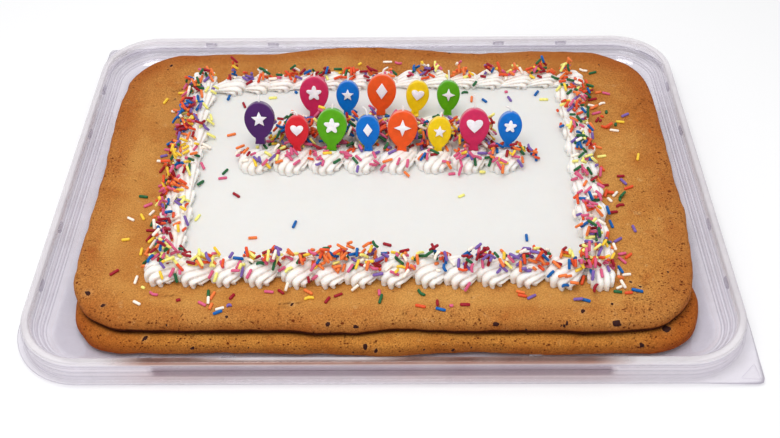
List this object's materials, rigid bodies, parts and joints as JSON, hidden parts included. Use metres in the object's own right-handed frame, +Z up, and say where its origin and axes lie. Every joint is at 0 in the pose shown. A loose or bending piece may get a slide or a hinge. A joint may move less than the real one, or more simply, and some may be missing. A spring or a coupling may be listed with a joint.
{
  "type": "cookie cake",
  "caption": "Rectangular double cookie cake with white icing, a piped border, sprinkles and balloon candles, in a shallow clear food tray.",
  "frame": {"origin": "middle of the tray's flat underside", "axes": "+X to the right along the long side, +Y from the front of the cake to its back, +Z up"},
  "size_m": [0.49, 0.365, 0.0759],
  "materials": {
    "clear_sheet": "clear thermoformed sheet, glossy",
    "cookie_top": "baked golden brown, matt",
    "cookie_bottom": "baked golden brown, matt",
    "icing": "soft white icing, satin",
    "wax_purple": "satin wax",
    "wax_red": "satin wax",
    "wax_green": "satin wax",
    "wax_blue": "satin wax",
    "wax_orange": "satin wax",
    "wax_yellow": "satin wax",
    "wax_pink": "satin wax",
    "wax_white": "satin wax",
    "wick": "waxed cotton",
    "pick": "milky plastic"
  },
  "bodies": {
    "root": {"tray": "clear_sheet", "cookie_lower": "cookie_bottom", "cookie_upper": "cookie_top", "icing_field": "icing", "border": "icing", "row_front": "icing", "row_rear": "icing", "front_1_balloon": "wax_purple", "front_1_motif": "wax_white", "front_1_wick": "wick", "front_1_pick": "pick", "front_2_balloon": "wax_red", "front_2_motif": "wax_white", "front_2_wick": "wick", "front_2_pick": "pick", "front_3_balloon": "wax_green", "front_3_motif": "wax_white", "front_3_wick": "wick", "front_3_pick": "pick", "front_4_balloon": "wax_blue", "front_4_motif": "wax_white", "front_4_wick": "wick", "front_4_pick": "pick", "front_5_balloon": "wax_orange", "front_5_motif": "wax_white", "front_5_wick": "wick", "front_5_pick": "pick", "front_6_balloon": "wax_yellow", "front_6_motif": "wax_white", "front_6_wick": "wick", "front_6_pick": "pick", "front_7_balloon": "wax_pink", "front_7_motif": "wax_white", "front_7_wick": "wick", "front_7_pick": "pick", "front_8_balloon": "wax_blue", "front_8_motif": "wax_white", "front_8_wick": "wick", "front_8_pick": "pick", "rear_1_balloon": "wax_pink", "rear_1_motif": "wax_white", "rear_1_wick": "wick", "rear_1_pick": "pick", "rear_2_balloon": "wax_blue", "rear_2_motif": "wax_white", "rear_2_wick": "wick", "rear_2_pick": "pick", "rear_3_balloon": "wax_orange", "rear_3_motif": "wax_white", "rear_3_wick": "wick", "rear_3_pick": "pick", "rear_4_balloon": "wax_yellow", "rear_4_motif": "wax_white", "rear_4_wick": "wick", "rear_4_pick": "pick", "rear_5_balloon": "wax_green", "rear_5_motif": "wax_white", "rear_5_wick": "wick", "rear_5_pick": "pick"}
  },
  "joints": []
}
